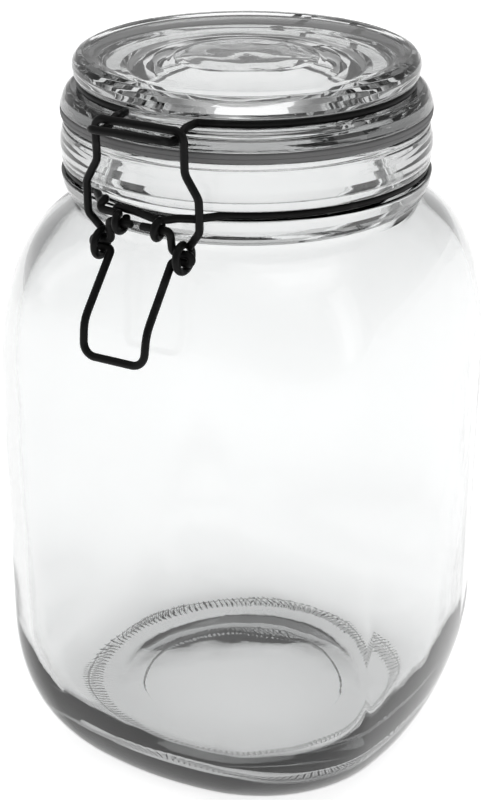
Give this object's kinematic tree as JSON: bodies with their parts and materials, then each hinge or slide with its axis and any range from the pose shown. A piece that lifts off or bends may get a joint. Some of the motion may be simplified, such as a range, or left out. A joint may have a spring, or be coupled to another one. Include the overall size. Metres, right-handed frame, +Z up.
{
  "type": "clip-top glass storage jar",
  "caption": "Square glass storage jar with a round mouth, hinged glass lid, rubber seal and sprung wire latch.",
  "frame": {"origin": "on the jar's axis, on the flat ring that the jar stands on", "axes": "+Z up along the jar's axis, -Y out of the latch's face, +Y out of the hinge's face"},
  "size_m": [0.1192, 0.1278, 0.1995],
  "materials": {
    "jar_glass": "clear pressed glass",
    "lid_glass": "clear pressed glass",
    "seal_rubber": "matte grey seal",
    "black_wire": "satin black coated spring wire"
  },
  "bodies": {
    "jar": {"glass_jar": "jar_glass", "neck_wire": "black_wire"},
    "lid": {"glass_lid": "lid_glass", "gasket": "seal_rubber", "lid_wire": "black_wire"},
    "lever": {"latch_lever": "black_wire"},
    "loop": {"latch_loop": "black_wire"}
  },
  "joints": [
    {"name": "lid_hinge", "type": "hinge", "parent": "jar", "child": "lid", "pos_m": [0, 0.0535, 0.1702], "axis": [-1, 0, 0], "range_deg": [0, 110]},
    {"name": "lever_pivot", "type": "hinge", "parent": "jar", "child": "lever", "pos_m": [0, -0.05385, 0.1674], "axis": [-1, 0, 0], "range_deg": [0, 115]},
    {"name": "loop_pivot", "type": "hinge", "parent": "lever", "child": "loop", "pos_m": [0, -0.05295, 0.1608], "axis": [-1, 0, 0], "range_deg": [-115, 0]}
  ],
  "couplings": [
    {"joint": "loop_pivot", "follows": "lever_pivot", "ratio": -1}
  ]
}
